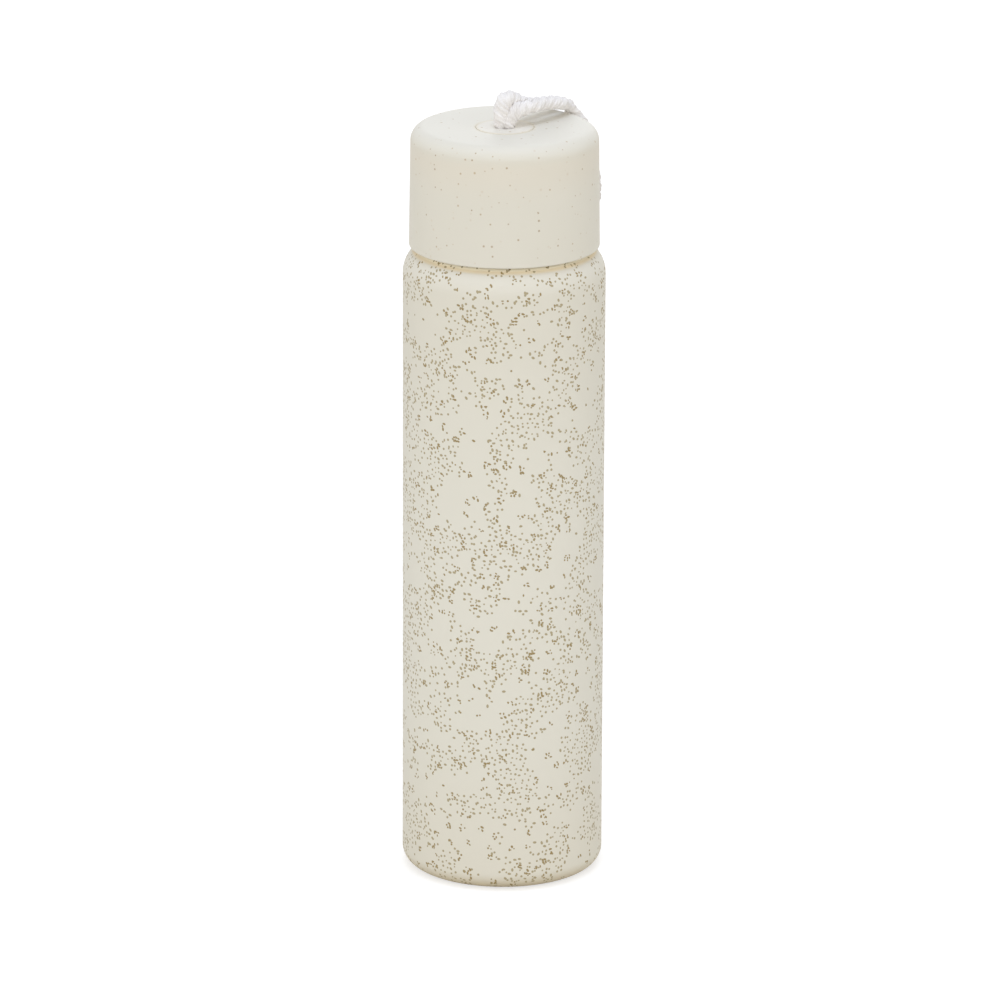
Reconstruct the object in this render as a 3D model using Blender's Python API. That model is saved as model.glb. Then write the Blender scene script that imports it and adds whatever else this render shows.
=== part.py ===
"""Glass drink bottle with a screw cap and a cotton rope loop.

Lengths are in metres and +Z is up. The bottle stands on z = 0 with its axis on Z, and every
turned piece is described by an outline of (radius, height) points that is spun about that axis.
"""

import math

import bmesh
import bpy
from mathutils import Vector

# The least gap between two pieces that touch.
GAP = 0.0003

# Glass body, from the base up.
BODY_RADIUS = 0.0325
BODY_WALL = 0.0026
BASE_THICKNESS = 0.0055
BASE_FILLET = 0.0056
BASE_INNER_FILLET = 0.0050
PUSH_UP_RADIUS = 0.0170
PUSH_UP_DEPTH = 0.0012
SHOULDER_START = 0.1990
SHOULDER_RADIUS = 0.0100

# Glass neck, plain below its thread and above it.
NECK_RADIUS = 0.0236
NECK_WALL = 0.0027
NECK_BELOW_THREAD = 0.0075
NECK_ABOVE_THREAD = 0.0045
NECK_ROOT_FILLET = 0.0012
MOUTH_ROOT_FILLET = 0.0020
RIM_FILLET = 0.0009

# Screw thread, one start, the same ridge on the neck and in the liner. The bite is how deep a
# ridge's root lies in its wall, and the flank gap lies between the two ridges when closed.
THREAD_LEAD = 0.0060
THREAD_TURNS = 1.5
THREAD_HEIGHT = 0.0015
THREAD_ROOT_WIDTH = 0.0026
THREAD_CREST_WIDTH = 0.0012
THREAD_CLEARANCE = 0.0006
THREAD_BITE = 0.0004
THREAD_FLANK_GAP = 0.0004

# Silicone seal between the rim and the liner.
SEAL_THICKNESS = 0.0015
SEAL_WIDTH = 0.0045
SEAL_SIDE_CLEARANCE = 0.0005
SEAL_EDGE = 0.0003

# Threaded liner, held inside the shell.
LINER_WALL = 0.0023
LINER_PLATE = 0.0018
LINER_CHAMFER = 0.0006

# How far the cap ends above the glass shoulder: the shell's bore and the liner.
CAP_SHOULDER_GAP = 0.00115
LINER_SHOULDER_GAP = 0.0010

# Cap shell. The draft is how much narrower its side is at the top.
CAP_WALL = 0.00224
CAP_DRAFT = 0.00042
CAP_FILLET = 0.0046
CAP_LIP_FILLET = 0.0007
CAP_ROOF = 0.0024
CAP_LEDGE = 0.0016
CHAMBER_FILLET = 0.0020
CAP_HOLE_CHAMFER = 0.0002

# Flanged button that the rope comes up through.
BUTTON_RADIUS = 0.00945
BUTTON_PROUD = 0.0004
BUTTON_EDGE = 0.0003
BUTTON_FLANGE_REACH = 0.00325
BUTTON_FLANGE = 0.0018
BUTTON_SIDE_CLEARANCE = 0.0003
BUTTON_HOLE_FILLET = 0.0003

# Cotton rope: both ends of the loop go down through the button into the knot.
ROPE_DIAMETER = 0.0038
ROPE_SPACING = 0.0042
ROPE_HOLE_CLEARANCE = 0.0004
ROPE_STEP = 0.0026
KNOT_RADIUS = 0.0064
KNOT_HEIGHT = 0.0081
KNOT_SEAT_CLEARANCE = 0.0004
KNOT_SQUARENESS = 4
KNOT_LOBES = 3
KNOT_LOBE_SHARE = 0.08
KNOT_TWIST_TURNS = 0.35

# The rope's route, in the order the rope runs: up out of the hole, across the top, over the
# rim at the back right, down the side, round the bight and back to the hole.
ROPE_ROUTE = (
    (0.0021, 0.0000, 0.2427),
    (0.0021, 0.0000, 0.2454),
    (0.0022, 0.0000, 0.2480),
    (0.0029, 0.0002, 0.2504),
    (0.0053, 0.0011, 0.2520),
    (0.0090, 0.0038, 0.2526),
    (0.0132, 0.0078, 0.2525),
    (0.0175, 0.0123, 0.2515),
    (0.0210, 0.0165, 0.2499),
    (0.0236, 0.0196, 0.2473),
    (0.0252, 0.0210, 0.2435),
    (0.0260, 0.0204, 0.2390),
    (0.0271, 0.0184, 0.2346),
    (0.0283, 0.0164, 0.2298),
    (0.0291, 0.0149, 0.2244),
    (0.0288, 0.0155, 0.2184),
    (0.0270, 0.0186, 0.2138),
    (0.0239, 0.0225, 0.2119),
    (0.0205, 0.0256, 0.2138),
    (0.0187, 0.0270, 0.2188),
    (0.0182, 0.0275, 0.2252),
    (0.0186, 0.0277, 0.2318),
    (0.0196, 0.0281, 0.2380),
    (0.0210, 0.0282, 0.2430),
    (0.0209, 0.0264, 0.2470),
    (0.0184, 0.0228, 0.2493),
    (0.0149, 0.0188, 0.2505),
    (0.0112, 0.0146, 0.2512),
    (0.0083, 0.0109, 0.2519),
    (0.0059, 0.0076, 0.2531),
    (0.0039, 0.0046, 0.2549),
    (0.0014, 0.0018, 0.2560),
    (-0.0011, 0.0005, 0.2547),
    (-0.0018, 0.0001, 0.2516),
    (-0.0020, 0.0000, 0.2488),
    (-0.0021, 0.0000, 0.2460),
    (-0.0021, 0.0000, 0.2427),
)

# Facets round each turned piece, and steps along each arc of an outline.
BODY_SIDES = 64
THREAD_SIDES = 64
SEAL_SIDES = 48
BUTTON_SIDES = 40
KNOT_SIDES = 24
KNOT_RINGS = 10
LARGE_ARC_STEPS = 6
SMALL_ARC_STEPS = 3
THREAD_FADE_STEPS = 4
CURVE_SAMPLES = 16
SMOOTH_ANGLE = math.radians(40)
MERGE_DISTANCE = 1e-7

# Radii worked out from the sizes above, from the axis outwards.
MOUTH_RADIUS = NECK_RADIUS - NECK_WALL
LINER_BORE = NECK_RADIUS + THREAD_HEIGHT + THREAD_CLEARANCE
LINER_RADIUS = LINER_BORE + LINER_WALL
SHELL_BORE = LINER_RADIUS + GAP
CHAMBER_RADIUS = SHELL_BORE - CAP_LEDGE
CAP_EDGE_RADIUS = SHELL_BORE + CAP_WALL
CAP_TOP_RADIUS = CAP_EDGE_RADIUS - CAP_DRAFT
BUTTON_BORE = BUTTON_RADIUS + BUTTON_SIDE_CLEARANCE
BUTTON_FLANGE_RADIUS = BUTTON_BORE + BUTTON_FLANGE_REACH
ROPE_HOLE = (ROPE_SPACING + ROPE_DIAMETER) / 2 + ROPE_HOLE_CLEARANCE

# The shoulder's round: its centre, its top, and its height under the shell's bore.
SHOULDER_CENTRE_RADIUS = BODY_RADIUS - SHOULDER_RADIUS
SHOULDER_TOP = SHOULDER_START + SHOULDER_RADIUS
SHOULDER_OUT = max(0, SHELL_BORE - SHOULDER_CENTRE_RADIUS)
SHOULDER_UNDER_BORE = SHOULDER_START + math.sqrt(max(0, SHOULDER_RADIUS**2 - SHOULDER_OUT**2))

# Heights, from the neck up through the cap.
THREAD_START = SHOULDER_TOP + NECK_BELOW_THREAD
RIM_TOP = THREAD_START + THREAD_TURNS * THREAD_LEAD + NECK_ABOVE_THREAD
SEAL_BOTTOM = RIM_TOP + GAP
PLATE_BOTTOM = SEAL_BOTTOM + SEAL_THICKNESS + GAP
LINER_TOP = PLATE_BOTTOM + LINER_PLATE
KNOT_BOTTOM = LINER_TOP + KNOT_SEAT_CLEARANCE
FLANGE_BOTTOM = KNOT_BOTTOM + KNOT_HEIGHT + GAP
CEILING = FLANGE_BOTTOM + BUTTON_FLANGE + GAP
CAP_TOP = CEILING + CAP_ROOF
CAP_EDGE = SHOULDER_UNDER_BORE + CAP_SHOULDER_GAP
CAP_HEIGHT = CAP_TOP - CAP_EDGE
LINER_BOTTOM = SHOULDER_TOP + LINER_SHOULDER_GAP


def clear_scene():
    for old in list(bpy.data.objects):
        bpy.data.objects.remove(old, do_unlink=True)


def make_material(name, colour, roughness):
    material = bpy.data.materials.new(name)
    material.use_nodes = True
    material.diffuse_color = (*colour, 1.0)
    shader = material.node_tree.nodes["Principled BSDF"]
    shader.inputs["Base Color"].default_value = (*colour, 1.0)
    shader.inputs["Roughness"].default_value = roughness
    shader.inputs["Metallic"].default_value = 0.0
    return material


def arc(centre, radius, start_deg, end_deg, steps):
    """Points on a round stretch of an outline, both ends included."""
    points = []
    for i in range(steps + 1):
        angle = math.radians(start_deg + (end_deg - start_deg) * i / steps)
        points.append((centre[0] + radius * math.cos(angle), centre[1] + radius * math.sin(angle)))
    return points


def dome(radius, low, rise, steps):
    """Points of a shallow dome, from its crown on the axis out to its edge."""
    shares = [i / steps for i in range(steps + 1)]
    return [(radius * share, low + rise * (1 - share * share)) for share in shares]


def shoulder(radius, neck_radius, fillet):
    """The round from the body in towards the neck, and the fillet that turns it up the neck.

    The fillet's circle touches the shoulder's circle from outside, or its flat top where the
    neck is well inside it, and the neck's line.
    """
    across = max(0, neck_radius + fillet - SHOULDER_CENTRE_RADIUS)
    up = math.sqrt((radius + fillet) ** 2 - across**2)
    turn = math.degrees(math.atan2(up, across))
    centre = (SHOULDER_CENTRE_RADIUS, SHOULDER_START)
    round_part = arc(centre, radius, 0, turn, LARGE_ARC_STEPS)
    fillet_centre = (neck_radius + fillet, SHOULDER_START + up)
    return round_part + arc(fillet_centre, fillet, turn + 180, 180, SMALL_ARC_STEPS)


def finish_mesh(bm, name):
    """Turn a closed bmesh into a mesh with its faces outwards and its round faces smooth."""
    bmesh.ops.remove_doubles(bm, verts=bm.verts, dist=MERGE_DISTANCE)
    bmesh.ops.recalc_face_normals(bm, faces=bm.faces)
    mesh = bpy.data.meshes.new(name)
    bm.to_mesh(mesh)
    bm.free()
    mesh.shade_smooth()
    mesh.set_sharp_from_angle(angle=SMOOTH_ANGLE)
    return mesh


def turned_mesh(name, outline, sides, closed):
    """Spin an outline of (radius, height) points about Z. An open one ends on the axis."""
    bm = bmesh.new()
    verts = [bm.verts.new((radius, 0, height)) for radius, height in outline]
    pairs = list(zip(verts, verts[1:]))
    if closed:
        pairs.append((verts[-1], verts[0]))
    edges = [bm.edges.new(pair) for pair in pairs]
    bmesh.ops.spin(
        bm,
        geom=verts + edges,
        cent=(0, 0, 0),
        axis=(0, 0, 1),
        angle=math.tau,
        steps=sides,
        use_merge=True,
    )
    return finish_mesh(bm, name)


def add_part(name, mesh, material, parent=None):
    part = bpy.data.objects.new(name, mesh)
    bpy.context.collection.objects.link(part)
    part.data.materials.append(material)
    part.parent = parent
    return part


def add_axis(name, height, parent=None):
    """An empty on the bottle's axis, which the pieces that turn together hang from."""
    axis = bpy.data.objects.new(name, None)
    bpy.context.collection.objects.link(axis)
    axis.location.z = height
    axis.parent = parent
    return axis


def thread_mesh(name, wall_radius, outwards, start):
    """A helical ridge that stands on a round wall and fades into it at both ends.

    outwards is 1 for a ridge on a neck and -1 for one inside a bore. The root lies inside the
    wall, so that a union leaves no seam.
    """
    steps = round(THREAD_TURNS * THREAD_SIDES)
    root_radius = wall_radius - outwards * THREAD_BITE
    bm = bmesh.new()
    rings = []
    for i in range(steps + 1):
        # Half a facet on from the wall's own corners.
        angle = math.tau * (i + 1 / 2) / THREAD_SIDES
        middle = start + THREAD_LEAD * i / THREAD_SIDES
        fade_share = min(1, i / THREAD_FADE_STEPS, (steps - i) / THREAD_FADE_STEPS)
        stand = (THREAD_HEIGHT + THREAD_BITE / 2) * fade_share - THREAD_BITE / 2
        crest_radius = wall_radius + outwards * stand
        section = (
            (root_radius, middle - THREAD_ROOT_WIDTH / 2),
            (crest_radius, middle - THREAD_CREST_WIDTH / 2),
            (crest_radius, middle + THREAD_CREST_WIDTH / 2),
            (root_radius, middle + THREAD_ROOT_WIDTH / 2),
        )
        rings.append(
            [bm.verts.new((r * math.cos(angle), r * math.sin(angle), z)) for r, z in section]
        )
    for ring, following in zip(rings, rings[1:]):
        for j in range(len(ring)):
            k = (j + 1) % len(ring)
            bm.faces.new((ring[j], ring[k], following[k], following[j]))
    bm.faces.new(rings[0])
    bm.faces.new(rings[-1])
    return finish_mesh(bm, name)


def add_thread(part, name, wall_radius, outwards, start):
    """Join a ridge to a turned part. The ridge's own object is a helper and isn't shown."""
    ridge = bpy.data.objects.new(name, thread_mesh(name, wall_radius, outwards, start))
    bpy.context.collection.objects.link(ridge)
    ridge.parent = part.parent
    ridge.location = part.location
    ridge.hide_render = True
    ridge.display_type = "WIRE"
    union = part.modifiers.new("thread", "BOOLEAN")
    union.operation = "UNION"
    union.solver = "EXACT"
    union.object = ridge


def glass_bottle(material):
    """Hollow glass body, domed up under the base, with a round shoulder and a threaded neck."""
    outer = dome(PUSH_UP_RADIUS, 0, PUSH_UP_DEPTH, SMALL_ARC_STEPS)
    base_centre = (BODY_RADIUS - BASE_FILLET, BASE_FILLET)
    outer += arc(base_centre, BASE_FILLET, -90, 0, LARGE_ARC_STEPS)
    outer += shoulder(SHOULDER_RADIUS, NECK_RADIUS, NECK_ROOT_FILLET)
    rim_low = RIM_TOP - RIM_FILLET
    outer += arc((NECK_RADIUS - RIM_FILLET, rim_low), RIM_FILLET, 0, 90, SMALL_ARC_STEPS)

    inner = dome(
        BODY_RADIUS - BODY_WALL - BASE_INNER_FILLET, BASE_THICKNESS, PUSH_UP_DEPTH, SMALL_ARC_STEPS
    )
    corner = (inner[-1][0], BASE_THICKNESS + BASE_INNER_FILLET)
    inner += arc(corner, BASE_INNER_FILLET, -90, 0, LARGE_ARC_STEPS)[1:]
    inner += shoulder(SHOULDER_RADIUS - BODY_WALL, MOUTH_RADIUS, MOUTH_ROOT_FILLET)
    inner += arc((MOUTH_RADIUS + RIM_FILLET, rim_low), RIM_FILLET, 180, 90, SMALL_ARC_STEPS)

    mesh = turned_mesh("glass_bottle", outer + inner[::-1], BODY_SIDES, closed=False)
    part = add_part("glass_bottle", mesh, material)
    add_thread(part, "neck_thread", NECK_RADIUS, 1, THREAD_START)


def seal_ring(material, parent):
    """Flat ring with eased edges, lying in the top of the liner above its thread."""
    outer = LINER_BORE - SEAL_SIDE_CLEARANCE
    inner = outer - SEAL_WIDTH
    outline = (
        (outer - SEAL_EDGE, 0),
        (outer, SEAL_EDGE),
        (outer, SEAL_THICKNESS - SEAL_EDGE),
        (outer - SEAL_EDGE, SEAL_THICKNESS),
        (inner + SEAL_EDGE, SEAL_THICKNESS),
        (inner, SEAL_THICKNESS - SEAL_EDGE),
        (inner, SEAL_EDGE),
        (inner + SEAL_EDGE, 0),
    )
    mesh = turned_mesh("seal_ring", outline, SEAL_SIDES, closed=True)
    part = add_part("seal_ring", mesh, material, parent)
    part.location.z = SEAL_BOTTOM - CAP_EDGE


def cap_liner(material, parent):
    """Inner cup with a plate at the top and the cap's thread in its bore."""
    height = LINER_TOP - LINER_BOTTOM
    outline = (
        (0, height),
        (LINER_RADIUS - LINER_CHAMFER, height),
        (LINER_RADIUS, height - LINER_CHAMFER),
        (LINER_RADIUS, LINER_CHAMFER),
        (LINER_RADIUS - LINER_CHAMFER, 0),
        (LINER_BORE + LINER_CHAMFER, 0),
        (LINER_BORE, LINER_CHAMFER),
        (LINER_BORE, height - LINER_PLATE),
        (0, height - LINER_PLATE),
    )
    mesh = turned_mesh("cap_liner", outline, BODY_SIDES, closed=False)
    part = add_part("cap_liner", mesh, material, parent)
    part.location.z = LINER_BOTTOM - CAP_EDGE
    # The cap's ridge lies just under the neck's, flank on flank, as it does when screwed tight.
    lean = (THREAD_ROOT_WIDTH - THREAD_CREST_WIDTH) / 2 / (THREAD_HEIGHT + THREAD_BITE)
    ridges = (THREAD_ROOT_WIDTH + THREAD_CREST_WIDTH) / 2
    below = ridges - lean * (THREAD_CLEARANCE + THREAD_BITE) + THREAD_FLANK_GAP
    add_thread(part, "liner_thread", LINER_BORE, -1, THREAD_START - below - LINER_BOTTOM)


def cap_shell(material, parent):
    """Outer cap: a drafted skirt, a rounded top edge and a ledge that the liner stops against."""
    ceiling = CEILING - CAP_EDGE
    ledge = LINER_TOP + GAP - CAP_EDGE
    outline = [
        (BUTTON_BORE, CAP_HEIGHT - CAP_HOLE_CHAMFER),
        (BUTTON_BORE + CAP_HOLE_CHAMFER, CAP_HEIGHT),
    ]
    top_centre = (CAP_TOP_RADIUS - CAP_FILLET, CAP_HEIGHT - CAP_FILLET)
    outline += arc(top_centre, CAP_FILLET, 90, 0, LARGE_ARC_STEPS)
    lip_centre = (CAP_EDGE_RADIUS - CAP_LIP_FILLET, CAP_LIP_FILLET)
    outline += arc(lip_centre, CAP_LIP_FILLET, 0, -90, SMALL_ARC_STEPS)
    outline += [(SHELL_BORE, 0), (SHELL_BORE, ledge), (CHAMBER_RADIUS, ledge)]
    chamber_corner = (CHAMBER_RADIUS - CHAMBER_FILLET, ceiling - CHAMBER_FILLET)
    outline += arc(chamber_corner, CHAMBER_FILLET, 0, 90, SMALL_ARC_STEPS)
    outline.append((BUTTON_BORE, ceiling))
    mesh = turned_mesh("cap_shell", outline, BODY_SIDES, closed=True)
    add_part("cap_shell", mesh, material, parent)


def rope_button(material, parent):
    """Disc with a flange under the cap's roof, and a round hole for both strands of rope."""
    height = CAP_TOP + BUTTON_PROUD - FLANGE_BOTTOM
    outline = arc(
        (ROPE_HOLE + BUTTON_HOLE_FILLET, height - BUTTON_HOLE_FILLET),
        BUTTON_HOLE_FILLET,
        180,
        90,
        SMALL_ARC_STEPS,
    )
    outline += arc(
        (BUTTON_RADIUS - BUTTON_EDGE, height - BUTTON_EDGE), BUTTON_EDGE, 90, 0, SMALL_ARC_STEPS
    )
    outline += [
        (BUTTON_RADIUS, BUTTON_FLANGE),
        (BUTTON_FLANGE_RADIUS, BUTTON_FLANGE),
        (BUTTON_FLANGE_RADIUS, 0),
        (ROPE_HOLE, 0),
    ]
    mesh = turned_mesh("rope_button", outline, BUTTON_SIDES, closed=True)
    part = add_part("rope_button", mesh, material, parent)
    part.location.z = FLANGE_BOTTOM - CAP_EDGE


def smooth_line(points):
    """A centripetal Catmull-Rom curve through the points, finely sampled."""
    points = [Vector(p) for p in points]
    padded = [2 * points[0] - points[1], *points, 2 * points[-1] - points[-2]]
    line = []
    for p0, p1, p2, p3 in zip(padded, padded[1:], padded[2:], padded[3:]):
        t0 = 0
        t1 = t0 + math.sqrt((p1 - p0).length)
        t2 = t1 + math.sqrt((p2 - p1).length)
        t3 = t2 + math.sqrt((p3 - p2).length)
        for i in range(CURVE_SAMPLES):
            t = t1 + (t2 - t1) * i / CURVE_SAMPLES
            a1 = p0.lerp(p1, (t - t0) / (t1 - t0))
            a2 = p1.lerp(p2, (t - t1) / (t2 - t1))
            a3 = p2.lerp(p3, (t - t2) / (t3 - t2))
            b1 = a1.lerp(a2, (t - t0) / (t2 - t0))
            b2 = a2.lerp(a3, (t - t1) / (t3 - t1))
            line.append(b1.lerp(b2, (t - t1) / (t2 - t1)))
    line.append(points[-1])
    return line


def evenly_spaced(line, step):
    """The line again, as points about a step apart from its first end to its last."""
    along = [0]
    for here, there in zip(line, line[1:]):
        along.append(along[-1] + (there - here).length)
    count = round(along[-1] / step)
    spaced = []
    i = 0
    for n in range(count + 1):
        target = along[-1] * n / count
        while i < len(along) - 2 and along[i + 1] < target:
            i += 1
        spaced.append(line[i].lerp(line[i + 1], (target - along[i]) / (along[i + 1] - along[i])))
    return spaced


def rope_loop(material, parent):
    """One length of rope, from the knot up through the button, over the cap's edge and back."""
    origin = Vector((0, 0, FLANGE_BOTTOM))
    points = [p - origin for p in evenly_spaced(smooth_line(ROPE_ROUTE), ROPE_STEP)]
    curve = bpy.data.curves.new("rope_loop", "CURVE")
    curve.dimensions = "3D"
    curve.twist_mode = "MINIMUM"
    curve.bevel_depth = ROPE_DIAMETER / 2
    curve.bevel_resolution = 2
    curve.use_fill_caps = True
    spline = curve.splines.new("POLY")
    spline.points.add(len(points) - 1)
    for target, point in zip(spline.points, points):
        target.co = (*point, 1)
    add_part("rope_loop", curve, material, parent)


def rope_knot(material, parent):
    """The stopper knot: a squat bun with turns wound slantwise round it."""
    bm = bmesh.new()
    bmesh.ops.create_uvsphere(bm, u_segments=KNOT_SIDES, v_segments=KNOT_RINGS, radius=1)
    for vert in bm.verts:
        across = math.hypot(vert.co.x, vert.co.y)
        turn = math.atan2(vert.co.y, vert.co.x) + math.tau * KNOT_TWIST_TURNS * vert.co.z
        lobes = 1 + KNOT_LOBE_SHARE * math.cos(KNOT_LOBES * turn) * across
        # Scaled out to a rounded drum of the same height.
        square = (across**KNOT_SQUARENESS + abs(vert.co.z) ** KNOT_SQUARENESS) ** (
            -1 / KNOT_SQUARENESS
        )
        vert.co.x *= square * lobes * KNOT_RADIUS
        vert.co.y *= square * lobes * KNOT_RADIUS
        vert.co.z *= square * KNOT_HEIGHT / 2
    part = add_part("rope_knot", finish_mesh(bm, "rope_knot"), material, parent)
    part.location.z = KNOT_BOTTOM + KNOT_HEIGHT / 2 - FLANGE_BOTTOM


def main():
    clear_scene()
    coated_glass = make_material("coated_glass", (0.73, 0.70, 0.60), 0.45)
    cap_plastic = make_material("cap_plastic", (0.74, 0.71, 0.62), 0.50)
    liner_plastic = make_material("liner_plastic", (0.82, 0.81, 0.77), 0.35)
    silicone = make_material("silicone", (0.80, 0.80, 0.78), 0.55)
    cotton = make_material("cotton", (0.84, 0.80, 0.76), 0.95)

    screw_axis = add_axis("screw_axis", CAP_EDGE)
    loop_axis = add_axis("loop_axis", FLANGE_BOTTOM - CAP_EDGE, screw_axis)

    glass_bottle(coated_glass)
    seal_ring(silicone, screw_axis)
    cap_liner(liner_plastic, screw_axis)
    cap_shell(cap_plastic, screw_axis)
    rope_button(cap_plastic, screw_axis)
    rope_loop(cotton, loop_axis)
    rope_knot(cotton, loop_axis)


main()
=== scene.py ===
"""Speckled glass bottle with a screw cap and a rope loop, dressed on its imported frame.

Lengths are in metres, +Z is up and the bottle stands on z = 0. The turned pieces take their main
sizes from the frame's boxes, and every finished piece has its place in its mesh.
"""

import math

import bmesh
import bpy
from mathutils import Matrix, Vector


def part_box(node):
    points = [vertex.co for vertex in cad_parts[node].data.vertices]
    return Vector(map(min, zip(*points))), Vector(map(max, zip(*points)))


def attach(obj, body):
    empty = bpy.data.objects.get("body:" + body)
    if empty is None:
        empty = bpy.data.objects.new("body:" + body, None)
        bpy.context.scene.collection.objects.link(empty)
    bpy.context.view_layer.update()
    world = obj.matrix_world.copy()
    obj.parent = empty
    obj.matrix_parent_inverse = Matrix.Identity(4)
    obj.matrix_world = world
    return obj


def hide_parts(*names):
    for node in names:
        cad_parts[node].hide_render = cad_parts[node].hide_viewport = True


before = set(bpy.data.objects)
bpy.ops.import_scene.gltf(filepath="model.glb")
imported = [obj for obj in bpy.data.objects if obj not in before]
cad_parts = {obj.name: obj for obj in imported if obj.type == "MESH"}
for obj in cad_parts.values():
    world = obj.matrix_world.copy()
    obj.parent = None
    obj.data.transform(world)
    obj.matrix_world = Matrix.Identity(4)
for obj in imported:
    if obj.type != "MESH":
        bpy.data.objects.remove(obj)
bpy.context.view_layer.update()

# The photograph's camera, fitted to the bottle's outline.
IMAGE_SIDE_PX = 1000
FOCAL_PX = 8139.5
SENSOR_MM = 36
CAMERA_PLACE = (0, -2.5129, 0.8929)
CAMERA_PITCH = math.radians(17.043)
CAMERA_YAW = math.radians(-0.0247)
CAMERA_ROLL = math.radians(0.222)
CAMERA_CLIP = (0.1, 20)

# Sizes that the frame gives.
_, bottle_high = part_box("glass_bottle")
shell_low, shell_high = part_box("cap_shell")
liner_low, liner_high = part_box("cap_liner")
seal_low, seal_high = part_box("seal_ring")
button_low, button_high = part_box("rope_button")
knot_low, knot_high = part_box("rope_knot")
BODY_RADIUS = bottle_high.x
RIM_TOP = bottle_high.z
CAP_EDGE = shell_low.z
CAP_TOP = shell_high.z
CAP_EDGE_RADIUS = shell_high.x
LINER_RADIUS = liner_high.x
LINER_BOTTOM = liner_low.z
LINER_TOP = liner_high.z
FLANGE_RADIUS = button_high.x
FLANGE_BOTTOM = button_low.z
BUTTON_TOP = button_high.z

# Glass body. The coat lies on the glass from under the base up to the foot of the neck.
BODY_WALL = 0.0026
BASE_THICKNESS = 0.0055
BASE_FILLET = 0.0056
BASE_INNER_FILLET = 0.0050
PUSH_UP_RADIUS = 0.0170
PUSH_UP_DEPTH = 0.0012
PUSH_UP_STEPS = 8
SHOULDER_START = 0.1990
SHOULDER_RADIUS = 0.0100
COAT_THICKNESS = 0.00010
COAT_GAP = 0.00002
COAT_START_RADIUS = 0.0140
COAT_END = math.radians(75)

# The coat's inside has a faint emission, which is painted light. By height, it has painted golden
# light in the shade under the cap's edge, is a shade darker high on the body, and has painted
# warm shade at the foot and more lightly above it.
INNER_PAINTED_LIGHT = 0.5
UNDER_CAP_LIGHT_START = 0.2057
UNDER_CAP_LIGHT_FULL = 0.2066
UNDER_CAP_LIGHT_END = 0.2072
HIGH_TONE_START = 0.13
HIGH_TONE_END = 0.20
FOOT_SHADE = 0.6
FOOT_SHADE_END = 0.006
LOW_SHADE = 0.13
LOW_SHADE_END = 0.06

# Glass neck and the screw thread, whose ridge shrinks into the wall at its ends.
NECK_RADIUS = 0.0236
NECK_WALL = 0.0027
NECK_ROOT_FILLET = 0.0012
MOUTH_ROOT_FILLET = 0.0020
RIM_FILLET = 0.0009
THREAD_START = 0.2165
THREAD_LEAD = 0.0060
THREAD_TURNS = 1.5
THREAD_HEIGHT = 0.0015
THREAD_BITE = 0.0004
THREAD_ROOT_WIDTH = 0.0026
THREAD_CREST_WIDTH = 0.0012
THREAD_ROUND = 0.0003
THREAD_FLANK_GAP = 0.0004
THREAD_END_TURNS = 0.1
THREAD_END_SCALE = 0.15
THREAD_ROUND_POINTS = 3

# Cap: shell, liner, seal and the button that holds the rope. The plastic has painted warm
# shade below its rim, strongest at RIM_SHADE_FULL, and a painted tan shade line in the seam
# round the button.
CAP_DRAFT = 0.00042
CAP_FILLET = 0.0046
CAP_LIP_FILLET = 0.0004
CAP_ROOF = 0.0024
CAP_LEDGE = 0.0016
CHAMBER_FILLET = 0.0020
CAP_HOLE_RADIUS = 0.0093
CAP_HOLE_ROUND = 0.0002
CAP_DISH = 0.0004
RIM_SHADE_START = 0.2270
RIM_SHADE_FULL = 0.2400
RIM_SHADE_END = 0.2450
LINER_BORE = 0.0257
LINER_PLATE = 0.0018
LINER_ROUND = 0.0006
BUTTON_RADIUS = 0.00925
BUTTON_EDGE = 0.0002
BUTTON_EASE = 0.0003
BUTTON_PROUD = 0.0001
BUTTON_FACE = CAP_TOP - CAP_DISH + BUTTON_PROUD
BUTTON_FLANGE = 0.0018
BUTTON_HOLE = 0.0032
SEAM_RADIUS = (BUTTON_RADIUS + CAP_HOLE_RADIUS) / 2
SEAM_SHADE_WIDTH = 0.0013
SEAM_SHADE_COVER = 0.35
SEAL_WIDTH = 0.0045
SEAL_EDGE = 0.0003
SEAT_GAP = 0.0003

# Cotton rope: three soft plies of yarns, all laid to the left. It bunches over the hole, is
# gathered in towards it, and is pressed flatter at the cap's rim.
ROPE_DIAMETER = 0.0038
# What the rope tree is given, under the names of its inputs.
ROPE_MAKE = {
    "Sample Length": 0.00036,
    "Ply Count": 3,
    "Ply Offset": 0.00072,
    "Ply Radius": 0.00138,
    "Ply Lay": 0.0105,
    "Yarn Count": 6,
    "Yarn Lay": 0.0100,
    "Yarn Depth": 0.22,
    "Yarn Points": 5,
    "Fluff": 0.00012,
    "Fluff Size": 0.0006,
}
BUNCH = 0.42
BUNCH_CENTRE = (0.0010, 0.0008, 0.2530)
BUNCH_INNER = 0.0025
BUNCH_OUTER = 0.0085
GATHER_SHARE = 0.50
GATHER_OUTER = 0.0100
GATHER_DROP = 0.0006
PRESS = 0.22
PRESS_CENTRE = (0.0228, 0.0188, 0.2480)
PRESS_INNER = 0.0015
PRESS_OUTER = 0.0085
PRESS_MOVE = (-0.0013, 0.0009, -0.0003)

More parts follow.
